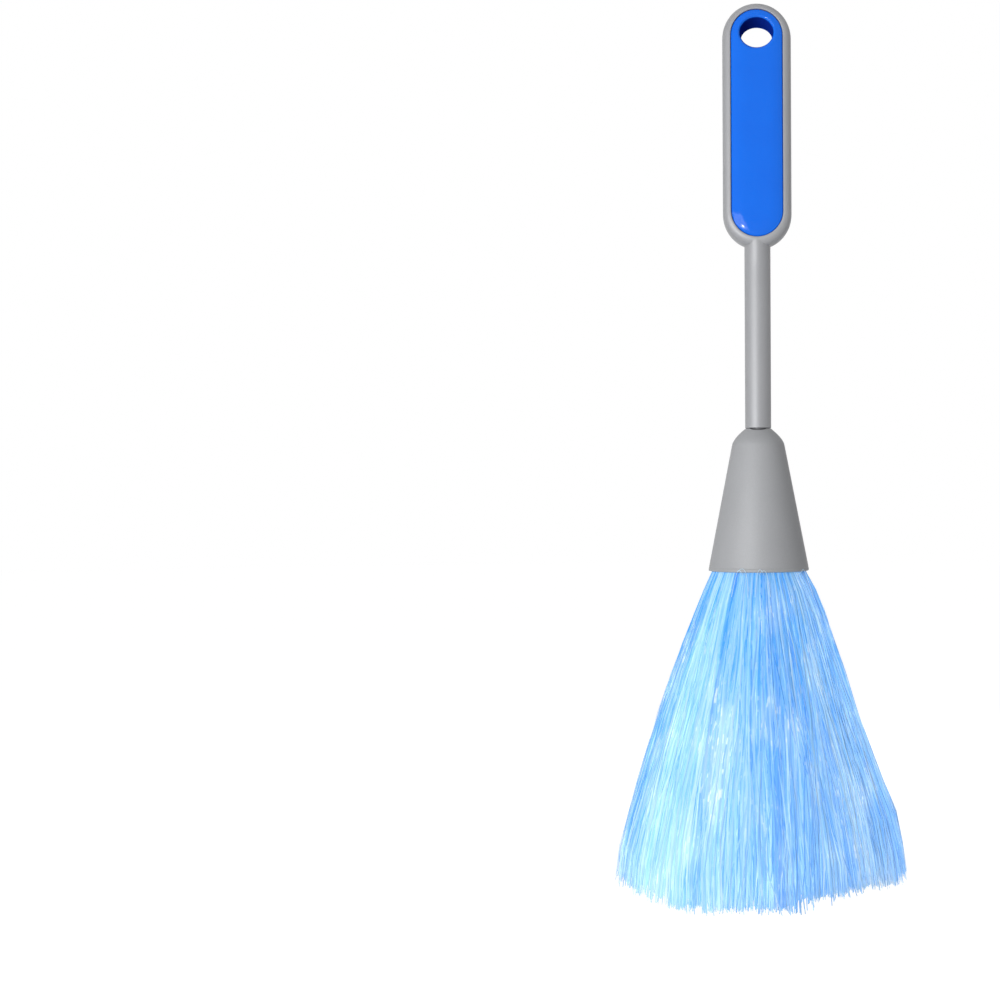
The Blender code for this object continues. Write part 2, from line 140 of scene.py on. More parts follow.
def rod(name, radius, ends, axis="Z", centre=0.0, steps=96):
    """A plain cylinder between two places along its axis."""
    return skin(name, [circle(radius, end, axis, centre, steps) for end in ends])


def pin_rods(name, radius, ends):
    """The same short rod at the height of each pin."""
    return [rod(name, radius, ends, "Y", height, steps=32) for height in pin_heights]


def combine(base, operation, *others):
    """Joins others to the base or cuts them out of it, for good."""
    for other in others:
        step = base.modifiers.new(operation, "BOOLEAN")
        step.operation = operation
        step.solver = "EXACT"
        step.object = other
        bpy.context.view_layer.update()
        shown = base.evaluated_get(bpy.context.evaluated_depsgraph_get())
        mesh = bpy.data.meshes.new_from_object(shown)
        base.modifiers.clear()
        base.data = mesh
        bpy.data.objects.remove(other, do_unlink=True)


def moulded(obj, material, node):
    """Gives a moulding its finish and puts it in the place of its CAD node."""
    obj.data.shade_smooth()
    obj.data.set_sharp_from_angle(angle=sharp_angle)
    obj.data.materials.clear()
    obj.data.materials.append(material)
    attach(obj, "root")
    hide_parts(node)


def new_group(name, inputs, outputs):
    """An empty shader group with number inputs and their usual values, and typed outputs."""
    group = bpy.data.node_groups.new(name, "ShaderNodeTree")
    for label, value in inputs.items():
        socket = group.interface.new_socket(label, in_out="INPUT", socket_type="NodeSocketFloat")
        socket.default_value = value
    for label, kind in outputs.items():
        group.interface.new_socket(label, in_out="OUTPUT", socket_type=kind)
    return group, group.nodes.new("NodeGroupInput"), group.nodes.new("NodeGroupOutput")


def moulded_skin_group():
    """Skin of a moulding: fine pigment flecks, slow flow mottling and a faintly uneven surface."""
    group, given, result = new_group(
        "moulded_skin",
        {"Fleck Size": 2500.0, "Flow Size": 45.0, "Unevenness": 0.1},
        {"Flecks": "NodeSocketFloat", "Flow": "NodeSocketFloat", "Normal": "NodeSocketVector"},
    )
    new, link = group.nodes.new, group.links.new
    place = new("ShaderNodeTexCoord")
    flecks = new("ShaderNodeTexNoise")
    flecks.inputs["Detail"].default_value = 1.0
    flow = new("ShaderNodeTexNoise")
    flow.inputs["Detail"].default_value = 3.0
    uneven = new("ShaderNodeTexNoise")
    uneven.inputs["Detail"].default_value = 2.0
    uneven.inputs["Scale"].default_value = 900.0
    bump = new("ShaderNodeBump")
    bump.inputs["Distance"].default_value = 0.0001
    for noise in (flecks, flow, uneven):
        link(place.outputs["Object"], noise.inputs["Vector"])
    link(given.outputs["Fleck Size"], flecks.inputs["Scale"])
    link(given.outputs["Flow Size"], flow.inputs["Scale"])
    link(uneven.outputs["Fac"], bump.inputs["Height"])
    link(given.outputs["Unevenness"], bump.inputs["Strength"])
    link(flecks.outputs["Fac"], result.inputs["Flecks"])
    link(flow.outputs["Fac"], result.inputs["Flow"])
    link(bump.outputs["Normal"], result.inputs["Normal"])
    return group


moulded_skin = moulded_skin_group()
gloss_swing = 0.04

# The sockets of a mix of two colours, by their place in the node.
mix_share, mix_first, mix_second = 0, 6, 7


def moulded_plastic(name, dark, light, roughness, unevenness, flecks, flow, **shader_values):
    """Moulded plastic whose colour runs from dark to light with the flecks and the flow."""
    material = bpy.data.materials.new(name)
    material.use_nodes = True
    tree = material.node_tree
    new, link = tree.nodes.new, tree.links.new
    shader = tree.nodes["Principled BSDF"]
    skin_node = new("ShaderNodeGroup")
    skin_node.node_tree = moulded_skin
    skin_node.inputs["Unevenness"].default_value = unevenness
    blend = new("ShaderNodeMath")
    blend.operation = "MULTIPLY_ADD"
    blend.inputs[1].default_value = flecks
    shift = new("ShaderNodeMath")
    shift.operation = "MULTIPLY_ADD"
    shift.inputs[1].default_value = flow
    shift.inputs[2].default_value = 0.5 - (flecks + flow) / 2
    colour = new("ShaderNodeMix")
    colour.data_type = "RGBA"
    colour.inputs[mix_first].default_value = (*dark, 1.0)
    colour.inputs[mix_second].default_value = (*light, 1.0)
    gloss = new("ShaderNodeMapRange")
    gloss.inputs["To Min"].default_value = roughness - gloss_swing
    gloss.inputs["To Max"].default_value = roughness + gloss_swing
    link(skin_node.outputs["Flecks"], blend.inputs[0])
    link(skin_node.outputs["Flow"], shift.inputs[0])
    link(shift.outputs[0], blend.inputs[2])
    link(blend.outputs[0], colour.inputs[mix_share])
    link(colour.outputs[2], shader.inputs["Base Color"])
    link(skin_node.outputs["Flow"], gloss.inputs["Value"])
    link(gloss.outputs["Result"], shader.inputs["Roughness"])
    link(skin_node.outputs["Normal"], shader.inputs["Normal"])
    for label, value in shader_values.items():
        shader.inputs[label.replace("_", " ")].default_value = value
    return material


satin_grey = moulded_plastic(
    "silver_grey_plastic", dark=(0.315, 0.32, 0.336), light=(0.425, 0.43, 0.446),
    roughness=0.44, unevenness=0.3, flecks=0.5, flow=0.4, Metallic=0.15,
)

# The bead's section, as insets from the outline and depths, from the parting line over the front
# to the recess, and mirrored for the rear.
bead_crest = (bead_crest_inset, -ring_half_thickness)
bead = rounding((0.0, 0.0), (0.0, -bead_side_depth), bead_shoulder, steps=6)[:-1]
bead += rounding(bead_shoulder, (bead_crown_inset, -ring_half_thickness), bead_crest)[:-1]
bead += rounding(bead_crest, (bead_width, -ring_half_thickness),
                 (bead_width, -ring_half_thickness + bead_lip_drop), steps=5)
bead += [(inset, -depth) for inset, depth in reversed(bead[1:])]
grip_frame = skin("grip_frame", [grip_loop(inset, depth) for inset, depth in bead], hollow=True)

# The shaft is round and grows as thick as the ring where it runs into it.
shaft_loops = [circle(shaft_radius - shaft_chamfer, shaft_end),
               circle(shaft_radius, shaft_end + shaft_chamfer)]
for rise in np.linspace(0.0, 1.0, flare_steps):
    thickening = 1 + shaft_flare * rise * rise * (3 - 2 * rise)
    height = ring_bottom - flare_height + rise * (flare_height + bead_crest_inset)
    shaft_loops.append([(x, y * thickening, height) for x, y, _ in circle(shaft_radius, 0.0)])
combine(
    grip_frame, "UNION",
    skin("web", [grip_loop(bead_width / 2, side * web_half_thickness) for side in (-1, 1)]),
    skin("shaft", shaft_loops),
)
combine(
    grip_frame, "DIFFERENCE",
    rod("sleeve_hole", sleeve_radius + seat_gap, (-web_cut_reach, web_cut_reach), "Y"),
    *pin_rods("pin_hole", pin_radius + seat_gap, (-web_cut_reach, web_cut_reach)),
    rod("bore", bore_radius, (shaft_end - cut_overrun, shaft_end + bore_depth), steps=48),
)
moulded(grip_frame, satin_grey, "handle_frame")


# Grip panels: two glossy blue mouldings, one from the front and one from the rear, snapped
# together through the web by three pins. The front one's sleeve lines the hang hole as far as
# the rear one's wall, so a parting line shows in the hole.
panel_face = -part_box("front_grip_panel")[0].y
panel_play, skirt_lip = 0.00015, 0.0002
panel_edge = bead_width + panel_play
panel_back = web_half_thickness + seat_gap
panel_wall, panel_skirt = 0.0027, 0.0016
panel_inner_face = panel_face - panel_wall
panel_root = panel_inner_face + panel_wall / 2
pillow_width, pillow_height, pillow_power = 0.0085, 0.0013, 2.2
pillow_steps, pillow_step = 10, 0.0009
crown, crown_insets = 0.00030, [0.0144, 0.0120, 0.0100]
middle_gap = 0.0001
edge_round, edge_steps, slope_reach = 0.0006, 6, 0.0001
pin_engagement, socket_wall = 0.0040, 0.0018
hole_rise = 0.0006
front_hole, rear_hole = (0.0093, 0.0083), (0.0089, 0.0071)
hole_cut_depth, hole_shade_margin = 0.012, 1.02
lip_radius, lip_depth, lip_steps, lip_overlap = 0.0109, 0.0020, 12, 0.00001

glossy_blue = moulded_plastic(
    "blue_gloss_plastic", dark=(0.002, 0.147, 0.86), light=(0.004, 0.190, 0.97),
    roughness=0.11, unevenness=0.05, flecks=0.2, flow=0.7, Specular_IOR_Level=0.2,
)
# The hang hole's wall: a much darker blue, which is painted shade, on a rough surface.
hole_shade_blue = moulded_plastic(
    "blue_hole_painted_shade", dark=(0.005, 0.028, 0.33), light=(0.008, 0.042, 0.42),
    roughness=0.60, unevenness=0.2, flecks=0.3, flow=0.5, Specular_IOR_Level=0.0,
)


def panel_depth(inset):
    """Depth of the panel's face at this distance from its edge: a soft pillow, gently crowned."""
    pillow = pillow_height * max(0.0, 1 - inset / pillow_width) ** pillow_power
    return panel_face - pillow - crown * (1 - inset / (ring_half_width - panel_edge)) ** 2


def grip_panel(name, side):
    """A shallow cap with pillowed edges and a gently crowned face."""
    insets = crown_insets + [edge_round + i * pillow_step for i in reversed(range(pillow_steps))]
    outside = [(inset + panel_edge, panel_depth(inset)) for inset in insets]
    drop = panel_depth(edge_round + slope_reach) - panel_depth(edge_round)
    steepness = math.atan(drop / slope_reach)
    reach = edge_round / (1 - math.sin(steepness))
    edge_depth = outside[-1][1]
    for i in range(1, edge_steps + 1):
        turn = steepness + (math.pi / 2 - steepness) * i / edge_steps
        outside.append((panel_edge + reach * (1 - math.sin(turn)),
                        edge_depth - reach * (math.cos(steepness) - math.cos(turn))))
    outside.append((panel_edge, panel_back + skirt_lip))
    inside = [(panel_edge + panel_skirt, panel_back), (panel_edge + panel_skirt, panel_inner_face),
              (ring_half_width - middle_gap, panel_inner_face)]
    return skin(name, [grip_loop(inset, side * depth) for inset, depth in outside + inside])


def hole_loop(bore, share, depth):
    """One loop of the hang hole, from its oval bore (share 0) to its round lip (share 1)."""
    wide, tall = (half + (lip_radius - half) * share for half in bore)
    return [(wide * x, y, hole_rise + tall * z) for x, y, z in circle(1.0, depth, "Y")]


def lip_loop(side, bore, turn):
    """One loop of the hole's rounded lip, which follows the pillowed face."""
    sink = lip_depth * (1 - math.sin(turn)) - lip_overlap
    loop = []
    for x, _, z in hole_loop(bore, 1 - math.cos(turn), 0.0):
        inset = ring_half_width - panel_edge - math.hypot(x, max(z, 0.0))
        loop.append((x, side * (panel_depth(inset) - sink), z))
    return loop


def hang_hole(side):
    """The cutter of a panel's part of the hang hole, flared to a soft lip at the face. The front
    part narrows to the rear one's bore at the parting line."""
    bore = front_hole if side < 0 else rear_hole
    inside = [hole_loop(rear_hole, 0.0, side * depth)
              for depth in (-hole_cut_depth, -panel_inner_face)]
    lip = [lip_loop(side, bore, math.pi / 2 * i / lip_steps) for i in range(lip_steps + 1)]
    outside = [hole_loop(bore, 1.0, side * (panel_face + cut_overrun))]
    return skin("hang_hole", inside + lip + outside)


def finish_panel(panel, node):
    """The hole's wall is painted a much darker blue as painted shade in the hole, and is rougher,
    off a plainer core pin than the polished face.
    """
    moulded(panel, glossy_blue, node)
    panel.data.materials.append(hole_shade_blue)
    # Faces inside the hole's margin get the darker blue of painted shade.
    for face in panel.data.polygons:
        across, up = face.center.x / front_hole[0], (face.center.z - hole_rise) / front_hole[1]
        face.material_index = int(math.hypot(across, up) < hole_shade_margin)


front_panel = grip_panel("front_panel", -1)
combine(
    front_panel, "UNION",
    rod("sleeve", sleeve_radius, (-panel_root, panel_inner_face - seat_gap), "Y"),
    *pin_rods("pin", pin_radius, (-panel_root, panel_back + pin_engagement)),
)
combine(front_panel, "DIFFERENCE", hang_hole(-1))
finish_panel(front_panel, "front_grip_panel")

rear_panel = grip_panel("rear_panel", 1)
combine(
    rear_panel, "UNION",
    *pin_rods("socket", pin_radius + seat_gap + socket_wall, (panel_back, panel_root)),
)
combine(
    rear_panel, "DIFFERENCE", hang_hole(1),
    *pin_rods("socket_bore", pin_radius + seat_gap, (0.0, panel_inner_face)),
)
finish_panel(rear_panel, "rear_grip_panel")


# Collar: a dome on a cone, a thin moulding in the same silver-grey polypropylene, open below.
# A shallow relief across its top leaves the dark crescent under the shaft's flat end.
matt_grey = moulded_plastic(
    "matt_grey_plastic", dark=(0.33, 0.336, 0.350), light=(0.452, 0.460, 0.476),
    roughness=0.52, unevenness=0.4, flecks=0.7, flow=0.3, Metallic=0.06, Specular_IOR_Level=0.35,
)
collar_low, collar_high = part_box("collar")
collar_top, collar_rim = collar_high.z, collar_low.z
rim_radius = collar_high.x
shoulder_radius, shoulder_drop = 0.0149, 0.0095
dome_corner_radius, dome_corner_drop = 0.0143, 0.0056
collar_wall, collar_top_wall = 0.0016, 0.0030
ceiling_radius = 0.0101
rim_round, rim_flat_width = 0.0013, 0.0009
groove_above_rim, groove_half_width, groove_depth = 0.0022, 0.0003, 0.00015
relief_half_width, relief_half_length, relief_depth = 0.0055, 0.0086, 0.0020
relief_steps = 24
shoulder = (shoulder_radius, collar_top - shoulder_drop)
dome_corner = (dome_corner_radius, collar_top - dome_corner_drop)
slope = (rim_radius - shoulder_radius) / (shoulder[1] - collar_rim)
groove = collar_rim + groove_above_rim
groove_radius = rim_radius - slope * groove_above_rim

# The section, as radii and heights: over the dome, down the cone, round the rim and up inside.
section = [(bore_radius, collar_top)]
section += rounding((shaft_radius, collar_top), dome_corner, shoulder, steps=16)
section += [(groove_radius - slope * groove_half_width, groove + groove_half_width),
            (groove_radius - groove_depth, groove),
            (groove_radius + slope * groove_half_width, groove - groove_half_width)]
section += rounding((rim_radius - slope * rim_round, collar_rim + rim_round),
                    (rim_radius, collar_rim), (rim_radius - rim_flat_width, collar_rim))
section += [(rim_radius - collar_wall, collar_rim)]
section += rounding((shoulder_radius - collar_wall, shoulder[1]),
                    (dome_corner_radius - collar_wall, collar_top - collar_top_wall - collar_wall),
                    (ceiling_radius, collar_top - collar_top_wall), steps=10)
section += [(bore_radius, collar_top - collar_top_wall)]
collar = skin("collar_shell", [circle(radius, height, steps=128) for radius, height in section],
              hollow=True)
relief_loop = []
for centre, start in ((relief_half_length - relief_half_width, 0.0),
                      (relief_half_width - relief_half_length, math.pi)):
    for i in range(relief_steps + 1):
        turn = start + math.pi * i / relief_steps
        relief_loop.append((relief_half_width * math.cos(turn),
                            centre + relief_half_width * math.sin(turn)))
combine(collar, "DIFFERENCE", skin("relief", [
    [(x, y, height) for x, y in relief_loop]
    for height in (collar_top - relief_depth, collar_top + cut_overrun)
]))
moulded(collar, matt_grey, "collar")


# Fibre: some thousands of fine strands of pale blue polypropylene, laid on the core in three
# layers with their roots fused, spread over the collar's rim and trimmed unevenly. They cling
# together in tufts, with deeper blue painted between them and on the inner layers as painted shade.

# Lengths are in millimetres here. The fan's outer radius is given on its left and right by the
# drop below the collar's rim, and the trimmed end's drop by the direction round the core.
mm_per_m = 1000
fan_drops = np.array([-36.3, -12, 0, 11, 24, 40, 58, 77, 97, 117, 137, 155, 172])
fan_left = np.array([16.1, 23, 26.2, 31.2, 36.4, 42.6, 49.4, 56.1, 62.7, 69, 74.4, 79, 81])
fan_right = np.array([16.1, 23, 26.2, 32.2, 37.1, 42.3, 48.4, 54.6, 61.6, 69, 76.3, 80.4, 82.6])
trim_around = (-180, -160, -150, -135, -120, -105, -90, -75, -60, -45, -30, -15, 0, 90)
trim_drops = (172, 168, 168.5, 173, 173, 172, 172, 170.5, 167.5, 166, 168, 171, 171, 171)
root_inner, root_outer, root_length, spread_power = 5.3, 16.1, -fan_drops[0], 0.63
tuft_trim, strand_trim = 1.0, (-2.4, 0.6)

# Shares of the way along a strand from its root, and of the way from the rim to its end.
levels = len(fan_drops)
run = (fan_drops + root_length) / np.ptp(fan_drops)
below_rim = np.clip(fan_drops / fan_drops[-1], 0, 1)

# How tufts pull their strands in, how strays drift away, and how tufts and strands wave: the
# waves along a strand, their size, and whether a tuft waves as one.
pull_limit, pull_shares, tuft_parting = 0.10, (0.0, 0.7), 0.7
stray_share, stray_drift, usual_drift = 0.10, 0.26, 0.035
drift_start, drift_length = 10, 160.0
sway_start, sway_length = -5, 60.0
sways = ((0.9, 1.9, True), (2.1, 1.0, True),
         (1.6, 1.5, False), (3.4, 0.9, False), (5.0, 0.3, False))
swell_range, wave_range, outward_sway, sway_radius = (0.2, 1.0), (0.7, 1.3), 0.4, 8

# A strand's section is a flat triangle, narrower at both ends and twisted as it falls.
corners, flatness = 3, 0.3
width_range, root_width, end_width = (0.6, 1.4), 0.5, 0.6
steady_twist, winding_twist, windings = 0.28, 0.32, (0.5, 3.0)

# Tone of the strands: how far it varies from tuft to tuft and from strand to strand, and how
# much deeper it is painted between tufts, as painted shade.
tuft_variety, strand_variety, parting_shade = 0.13, 0.20, 0.5

# Each strand's cell of the colour map: its height to its width, and the margins in it.
cell_shape, side_margin, end_margin = 12, 0.15, 0.04


def strand_paths(chance, count, roots, tufts, side):
    """The strands' centre lines in metres and their angles round the core, the tuft that each
    belongs to, and how near it is to the parting between two tufts."""
    around = chance.uniform(-math.pi, math.pi, count)
    if side is not None:
        around = side * math.pi / 2 + around / 2
    root = np.sqrt(chance.uniform(roots[0] ** 2, roots[1] ** 2, count))
    share = ((root - root_inner) / (root_outer - root_inner)) ** spread_power

    # Each strand clings to its tuft, more so further down, and the tufts sway as one.
    tuft_around = np.sort(chance.uniform(-math.pi, math.pi, tufts))
    offsets = np.abs(tuft_around[None, :] - around[:, None])
    tuft = offsets.argmin(axis=1)
    near, next_near = np.partition(offsets, 1, axis=1)[:, :2].T
    between = np.clip((near / next_near - tuft_parting) / (1 - tuft_parting), 0, 1)
    pull = np.clip(tuft_around[tuft] - around, -pull_limit, pull_limit)
    length = np.interp(np.degrees(around), trim_around, trim_drops, period=360)
    length += tuft_trim * chance.standard_normal(tufts)[tuft] + chance.uniform(*strand_trim, count)
    drop = fan_drops + below_rim * (length[:, None] - fan_drops[-1])

    stray = chance.uniform(0, 1, count) < stray_share
    drift = chance.standard_normal(count) * np.where(stray, stray_drift, usual_drift)
    angle = around[:, None] + (pull * chance.uniform(*pull_shares, count))[:, None] * below_rim
    angle = angle + drift[:, None] * np.clip((fan_drops - drift_start) / drift_length, 0, 1)
    left = np.interp(drop, fan_drops, fan_left)
    right = np.interp(drop, fan_drops, fan_right)
    outer = left + (right - left) * (0.5 + 0.5 * np.cos(angle))
    spread = np.clip((fan_drops + root_length) / root_length, 0, 1)
    radius = root[:, None] * (1 - spread) + outer * share[:, None] * spread
    freedom = np.clip((fan_drops - sway_start) / sway_length, 0, 1)
    for waves, size, as_tufts in sways:
        members = tufts if as_tufts else count
        swell = chance.uniform(*swell_range, (2, members, 1))
        phase = chance.uniform(0, 1, (2, members, 1))
        waves = waves * chance.uniform(*wave_range, (2, members, 1))
        swing = size * swell * np.sin(2 * math.pi * (waves * run + phase))
        swing = (swing[:, tuft] if as_tufts else swing) * freedom
        radius = radius + outward_sway * swing[0]
        angle = angle + swing[1] / np.maximum(radius, sway_radius)
    centre = np.stack([radius * np.cos(angle), radius * np.sin(angle),
                       collar_rim * mm_per_m - drop], axis=-1) / mm_per_m
    return centre, angle, tuft, between


def strand_mesh(name, chance, centre, angle, width):
    """A flat, slowly twisting strand of film along each centre line."""
    count = len(centre)
    along = np.gradient(centre, axis=1)
    along /= np.linalg.norm(along, axis=-1, keepdims=True)
    across = np.stack([-np.sin(angle), np.cos(angle), np.zeros_like(angle)], axis=-1)
    across -= along * (across * along).sum(-1, keepdims=True)
    across /= np.linalg.norm(across, axis=-1, keepdims=True)
    out = np.cross(along, across)
    wide = width / (2 * mm_per_m) * chance.uniform(*width_range, (count, 1)) * np.ones(levels)
    wide[:, 0] *= root_width
    wide[:, -1] *= end_width
    twist = steady_twist * chance.standard_normal((count, 1))
    winding = chance.uniform(*windings, (count, 1)) * run + chance.uniform(0, 1, (count, 1))
    twist = twist + winding_twist * np.sin(2 * math.pi * winding)
    edges = []
    for k in range(corners):
        flat_x = math.cos(2 * math.pi * k / corners)
        flat_y = flatness * math.sin(2 * math.pi * k / corners)
        x = wide * (flat_x * np.cos(twist) - flat_y * np.sin(twist))
        y = wide * (flat_x * np.sin(twist) + flat_y * np.cos(twist))
        edges.append(centre + x[..., None] * across + y[..., None] * out)
    points = np.stack(edges, axis=2).reshape(-1, 3)

    strand = np.arange(count)[:, None, None] * levels * corners
    level = np.arange(levels - 1)[None, :, None] * corners
    corner = np.arange(corners)[None, None, :]
    following = (corner + 1) % corners
    quads = np.stack([strand + level + corner, strand + level + following,
                      strand + level + corners + following,
                      strand + level + corners + corner], axis=-1)
    mesh = bpy.data.meshes.new(name)
    mesh.from_pydata(points, [], quads.reshape(-1, 4))
    mesh.update()
    return mesh


def lay_out_cells(mesh, count):
    """The map that the colour is kept on: each strand has a narrow upright cell of its own."""
    columns = math.ceil(math.sqrt(count * cell_shape))
    rows = math.ceil(count / columns)
    column, row = np.arange(count) % columns, np.arange(count) // columns
    left, right = side_margin, 1 - side_margin
    sides = (np.arange(corners)[:, None] + np.array([left, right, right, left])) / corners
    steps = (np.arange(levels - 1)[:, None] + np.array([0, 0, 1, 1])) / (levels - 1)
    inner_height = 1 - 2 * end_margin
    uv = np.empty((count, levels - 1, corners, 4, 2))
    uv[..., 0] = (column[:, None, None, None] + sides) / columns
    uv[..., 1] = (row[:, None, None, None] + end_margin + inner_height * steps[:, None, :]) / rows
    mesh.uv_layers.new(name="OFBake").data.foreach_set("uv", uv.reshape(-1))


def strands(name, count, seed, roots, width, tufts, layer_tone_and_shade, side):
    """A layer of strands whose roots lie between two radii, on one side of the core or all round,
    with the values that their colour is worked out from."""
    chance = np.random.default_rng(seed)
    centre, angle, tuft, between = strand_paths(chance, count, roots, tufts, side)
    mesh = strand_mesh(name, chance, centre, angle, width)
    lay_out_cells(mesh, count)
    # A layer's own tone, deeper the further in it lies, and the deeper tone between tufts are
    # painted shade.
    tone = layer_tone_and_shade + tuft_variety * chance.standard_normal(tufts)[tuft]
    tone = tone + strand_variety * chance.standard_normal(count) - parting_shade * between
    tone = np.clip(tone, 0, 1)
    for label, values in (("strand_tone", np.repeat(tone, levels * corners)),
                          ("strand_seed", np.repeat(chance.uniform(0, 1, count), levels * corners)),
                          ("strand_run", np.tile(np.repeat(run, corners), count))):
        attribute = mesh.attributes.new(label, "FLOAT", "POINT")
        attribute.data.foreach_set("value", values.astype(np.float32))
    made = bpy.data.objects.new(name, mesh)
    scene.collection.objects.link(made)
    return made


# Colours of the film by its tone, which wanders along each strand, and of its paler places:
# painted glints in short dashes along a strand, denser in patches, painted sheen in the patches,
# and a paler end.
deep_blue, pale_blue = (0.07, 0.42, 0.90, 1.0), (0.55, 0.80, 0.95, 1.0)
usual_blue, glint_white = (0.28, 0.62, 0.92, 1.0), (0.93, 0.98, 1.0, 1.0)
tone_waves, tone_swing = 7.0, 0.9
patch_scale, patch_range = (60.0, 60.0, 22.0), (0.46, 0.66)
crease_waves, glint_range, crease_height = 26.0, (0.57, 0.65), 0.0003
patch_glints, usual_glints = 0.7, 0.22
patch_sheen, end_paleness, end_start = 0.26, 0.20, 0.25
strand_shift = 900.0
film_roughness, film_specular, film_translucency = 0.26, 0.3, 0.15
painted_glow_blue, painted_glow_strength = (0.13, 0.46, 1.0, 1.0), 0.06


def strand_material():
    """Translucent pale blue film: paler and deeper strands, with painted glints and painted sheen
    in white, and a trace of painted glow for the light that fine fibre scatters."""
    material = bpy.data.materials.new("pale_blue_polypropylene")
    material.use_nodes = True
    tree = material.node_tree
    new, link = tree.nodes.new, tree.links.new
    shader = tree.nodes["Principled BSDF"]

    def value(source):
        node = new("ShaderNodeAttribute")
        node.attribute_name = source
        return node.outputs["Fac"]

    def math_of(operation, *inputs):
        node = new("ShaderNodeMath")
        node.operation = operation
        for socket, given in zip(node.inputs, inputs):
            if isinstance(given, float):
                socket.default_value = given
            else:
                link(given, socket)
        return node.outputs[0]

    def noise_of(place, detail):
        node = new("ShaderNodeTexNoise")
        node.inputs["Scale"].default_value = 1.0
        node.inputs["Detail"].default_value = detail
        link(place, node.inputs["Vector"])
        return node.outputs["Fac"]

    def along_strand(waves):
        """A noise that runs along each strand and is unlike its neighbour's."""
        place = new("ShaderNodeCombineXYZ")
        link(math_of("MULTIPLY", way, waves), place.inputs["X"])
        link(math_of("MULTIPLY", seed, strand_shift), place.inputs["Y"])
        return noise_of(place.outputs[0], 1.0)

    def ramped(source, low, high, top=1.0):
        node = new("ShaderNodeMapRange")
        node.inputs["From Min"].default_value = low
        node.inputs["From Max"].default_value = high
        node.inputs["To Max"].default_value = top
        link(source, node.inputs["Value"])
        return node.outputs["Result"]

    tone, seed, way = value("strand_tone"), value("strand_seed"), value("strand_run")
    stretched = new("ShaderNodeMapping")
    stretched.inputs["Scale"].default_value = patch_scale
    link(new("ShaderNodeTexCoord").outputs["Object"], stretched.inputs["Vector"])
    patch = ramped(noise_of(stretched.outputs["Vector"], 2.0), *patch_range)
    crease = along_strand(crease_waves)

    ramp = new("ShaderNodeValToRGB")
    ramp.color_ramp.elements[0].color = deep_blue
    ramp.color_ramp.elements[1].color = pale_blue
    ramp.color_ramp.elements.new(0.5).color = usual_blue
    wander = math_of("MULTIPLY_ADD", along_strand(tone_waves), tone_swing, -tone_swing / 2)
    link(math_of("ADD", tone, wander), ramp.inputs["Fac"])

    # Painted glints: white dashes along the strands, denser in the patches. Painted sheen: the
    # patches paler. The end is paler too.
    glint_density = math_of("MULTIPLY_ADD", patch, patch_glints, usual_glints)
    glint = math_of("MULTIPLY", ramped(crease, *glint_range), glint_density)
    sheen_and_pale_end = math_of("MULTIPLY_ADD", patch, patch_sheen, ramped(way, end_start, 1.0, end_paleness))
    paler = new("ShaderNodeMix")
    paler.data_type = "RGBA"
    paler.inputs[mix_second].default_value = glint_white
    link(math_of("MAXIMUM", glint, sheen_and_pale_end), paler.inputs[mix_share])
    link(ramp.outputs["Color"], paler.inputs[mix_first])
    colour = paler.outputs[2]

    bump = new("ShaderNodeBump")
    bump.inputs["Distance"].default_value = crease_height
    bump.inputs["Strength"].default_value = 0.4
    link(crease, bump.inputs["Height"])
    link(bump.outputs["Normal"], shader.inputs["Normal"])
    link(colour, shader.inputs["Base Color"])
    shader.inputs["Roughness"].default_value = film_roughness
    shader.inputs["Specular IOR Level"].default_value = film_specular
    # Painted glow: a faint blue emission standing in for the light scattered among the strands.
    shader.inputs["Emission Color"].default_value = painted_glow_blue
    shader.inputs["Emission Strength"].default_value = painted_glow_strength
    through = new("ShaderNodeBsdfTranslucent")
    link(colour, through.inputs["Color"])
    both = new("ShaderNodeMixShader")
    both.inputs["Fac"].default_value = film_translucency
    link(shader.outputs[0], both.inputs[1])
    link(through.outputs[0], both.inputs[2])
    link(both.outputs[0], tree.nodes["Material Output"].inputs["Surface"])
    return material


pale_blue_fibre = strand_material()

# The outer layer is in two halves, left and right. Light passes through it to the others.
# The middle and inner layers' deeper tones are painted shade.
for name, count, seed, roots, width, tufts, layer_tone_and_shade, side, node in (
    ("outer_fibre_left", 2750, 1, (12.7, 16.1), 0.88, 150, 0.55, -1, "outer_fibre_layer"),
    ("outer_fibre_right", 2750, 2, (12.7, 16.1), 0.88, 150, 0.55, 1, "outer_fibre_layer"),
    ("middle_fibre", 1700, 3, (9.0, 12.4), 1.2, 100, 0.22, None, "middle_fibre_layer"),
    ("inner_fibre", 900, 4, (5.4, 8.7), 1.2, 60, 0.15, None, "inner_fibre_layer"),
):
    layer = strands(name, count, seed, roots, width, tufts, layer_tone_and_shade, side)
    layer.data.materials.append(pale_blue_fibre)
    layer.visible_shadow = side is None
    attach(layer, "root")
    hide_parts(node)

